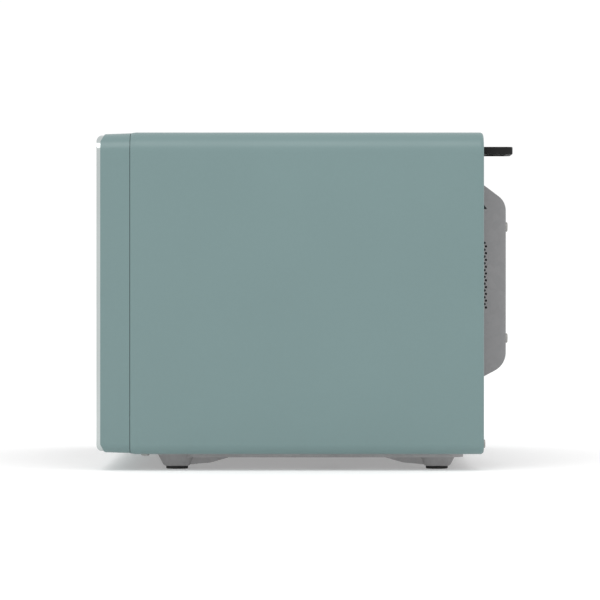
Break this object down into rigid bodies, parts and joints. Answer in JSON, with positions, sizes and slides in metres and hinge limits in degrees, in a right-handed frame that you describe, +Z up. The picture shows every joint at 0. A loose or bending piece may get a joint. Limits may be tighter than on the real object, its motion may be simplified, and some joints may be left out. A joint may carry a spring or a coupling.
{
  "type": "countertop microwave oven",
  "caption": "Countertop microwave oven with a side-hinged glass door, push-button latch release, touch-key panel, turntable, cooling fan and vented rear housing.",
  "frame": {"origin": "on the surface the oven stands on, under the middle of its overall box", "axes": "+X to the control-panel side (the longest way), +Y to the rear, -Y out of the door, +Z up (the shortest way)"},
  "size_m": [0.513, 0.382, 0.31],
  "materials": {
    "cabinet_paint": "satin enamel, pale grey-teal",
    "front_paint": "satin paint, pale grey-teal",
    "bright_trim": "bright plated trim",
    "dark_glass": "dark tinted glass",
    "clear_glass": "clear glass",
    "black_gloss": "gloss black",
    "button_black": "satin black",
    "sheet_steel": "zinc-coated sheet steel",
    "cavity_enamel": "baked light grey enamel",
    "black_plastic": "matte black",
    "rubber": "matte black rubber",
    "screw_steel": "zinc plated",
    "pale_plastic": "natural moulded plastic",
    "mica": "pale mica sheet",
    "circuit_board": "green solder mask",
    "aluminium_fins": "mill finish",
    "core_steel": "varnished laminations",
    "copper_winding": "enamelled copper wire"
  },
  "bodies": {
    "chassis": {"cabinet_wrap": "cabinet_paint", "front_plate": "sheet_steel", "oven_cavity": "cavity_enamel", "base_plate": "sheet_steel", "foot_pads": "rubber", "rear_panel": "sheet_steel", "wall_spacer": "black_plastic", "cord_gland": "black_plastic", "cabinet_screws": "screw_steel", "bulge_screws": "screw_steel", "hinge_bracket_upper": "sheet_steel", "hinge_bracket_lower": "sheet_steel", "panel_housing": "front_paint", "panel_bezel": "bright_trim", "panel_fascia": "black_gloss", "display_window": "dark_glass", "control_board": "circuit_board", "latch_bracket": "pale_plastic", "interlock_switches": "black_plastic", "waveguide": "sheet_steel", "waveguide_cover": "mica", "magnetron": "aluminium_fins", "transformer_core": "core_steel", "transformer_windings": "copper_winding", "hv_capacitor": "sheet_steel", "capacitor_clamp": "sheet_steel", "hv_diode": "black_plastic", "fan_shroud": "pale_plastic", "fan_motor": "core_steel", "noise_filter_board": "circuit_board", "thermal_cutouts": "black_plastic", "lamp_holder": "sheet_steel", "cavity_lamp": "clear_glass", "turntable_motor": "screw_steel"},
    "door": {"door_shell": "front_paint", "door_bezel": "bright_trim", "door_glass": "dark_glass", "door_frame": "cavity_enamel", "choke_cover": "black_plastic", "door_inner_window": "clear_glass", "latch_spring": "screw_steel"},
    "latch_hooks": {"latch_hooks": "pale_plastic"},
    "turntable": {"turntable_coupler": "pale_plastic", "glass_tray": "clear_glass"},
    "roller_ring": {"roller_ring": "pale_plastic"},
    "roller_1": {"roller_1": "pale_plastic"},
    "roller_2": {"roller_2": "pale_plastic"},
    "roller_3": {"roller_3": "pale_plastic"},
    "fan": {"fan_blade": "pale_plastic"},
    "door_button": {"door_button": "button_black", "button_spring": "screw_steel"},
    "release_lever": {"release_lever": "pale_plastic"},
    "key_power": {"key_power": "button_black"},
    "key_clock": {"key_clock": "button_black"},
    "key_defrost": {"key_defrost": "button_black"},
    "key_timer": {"key_timer": "button_black"},
    "key_plus": {"key_plus": "button_black"},
    "key_minus": {"key_minus": "button_black"},
    "key_stop": {"key_stop": "button_black"},
    "key_start": {"key_start": "button_black"}
  },
  "joints": [
    {"name": "door_hinge", "type": "hinge", "parent": "chassis", "child": "door", "pos_m": [-0.248, -0.172, 0.16], "axis": [0, 0, -1], "range_deg": [0, 105]},
    {"name": "latch_slide", "type": "slide", "parent": "door", "child": "latch_hooks", "axis": [0, 0, 1], "range_m": [0, 0.0042], "stiffness_N_per_m": 200, "springref_m": -0.003, "deforming": ["latch_spring"]},
    {"name": "button_press", "type": "slide", "parent": "chassis", "child": "door_button", "axis": [0, 1, 0], "range_m": [0, 0.006], "stiffness_N_per_m": 300, "springref_m": -0.002, "deforming": ["button_spring"]},
    {"name": "lever_pivot", "type": "hinge", "parent": "chassis", "child": "release_lever", "pos_m": [0.15, -0.1532, 0.068], "axis": [1, 0, 0], "range_deg": [0, 19.1]},
    {"name": "key_power_press", "type": "slide", "parent": "chassis", "child": "key_power", "axis": [0, 1, 0], "range_m": [0, 0.0008], "stiffness_N_per_m": 500, "springref_m": -0.001},
    {"name": "key_clock_press", "type": "slide", "parent": "chassis", "child": "key_clock", "axis": [0, 1, 0], "range_m": [0, 0.0008], "stiffness_N_per_m": 500, "springref_m": -0.001},
    {"name": "key_defrost_press", "type": "slide", "parent": "chassis", "child": "key_defrost", "axis": [0, 1, 0], "range_m": [0, 0.0008], "stiffness_N_per_m": 500, "springref_m": -0.001},
    {"name": "key_timer_press", "type": "slide", "parent": "chassis", "child": "key_timer", "axis": [0, 1, 0], "range_m": [0, 0.0008], "stiffness_N_per_m": 500, "springref_m": -0.001},
    {"name": "key_plus_press", "type": "slide", "parent": "chassis", "child": "key_plus", "axis": [0, 1, 0], "range_m": [0, 0.0008], "stiffness_N_per_m": 500, "springref_m": -0.001},
    {"name": "key_minus_press", "type": "slide", "parent": "chassis", "child": "key_minus", "axis": [0, 1, 0], "range_m": [0, 0.0008], "stiffness_N_per_m": 500, "springref_m": -0.001},
    {"name": "key_stop_press", "type": "slide", "parent": "chassis", "child": "key_stop", "axis": [0, 1, 0], "range_m": [0, 0.0008], "stiffness_N_per_m": 500, "springref_m": -0.001},
    {"name": "key_start_press", "type": "slide", "parent": "chassis", "child": "key_start", "axis": [0, 1, 0], "range_m": [0, 0.0008], "stiffness_N_per_m": 500, "springref_m": -0.001},
    {"name": "tray_spin", "type": "hinge", "parent": "chassis", "child": "turntable", "pos_m": [-0.0635, -0.00315, 0.04], "axis": [0, 0, 1], "continuous": true},
    {"name": "ring_spin", "type": "hinge", "parent": "chassis", "child": "roller_ring", "pos_m": [-0.0635, -0.00315, 0.04825], "axis": [0, 0, 1], "continuous": true},
    {"name": "roller_1_spin", "type": "hinge", "parent": "roller_ring", "child": "roller_1", "pos_m": [0.0325, -0.00315, 0.04825], "axis": [1, 0, 0], "continuous": true},
    {"name": "roller_2_spin", "type": "hinge", "parent": "roller_ring", "child": "roller_2", "pos_m": [-0.1115, 0.07999, 0.04825], "axis": [-0.5, 0.866, 0], "continuous": true},
    {"name": "roller_3_spin", "type": "hinge", "parent": "roller_ring", "child": "roller_3", "pos_m": [-0.1115, -0.08629, 0.04825], "axis": [-0.5, -0.866, 0], "continuous": true},
    {"name": "fan_spin", "type": "hinge", "parent": "chassis", "child": "fan", "pos_m": [0.18075, 0.122, 0.1724], "axis": [0, 1, 0], "continuous": true}
  ],
  "couplings": [
    {"joint": "lever_pivot", "follows": "button_press", "rad_per_m": 55.5},
    {"joint": "latch_slide", "follows": "button_press", "ratio": 0.7},
    {"joint": "ring_spin", "follows": "tray_spin", "ratio": 0.5},
    {"joint": "roller_1_spin", "follows": "tray_spin", "ratio": -6},
    {"joint": "roller_2_spin", "follows": "tray_spin", "ratio": -6},
    {"joint": "roller_3_spin", "follows": "tray_spin", "ratio": -6}
  ]
}
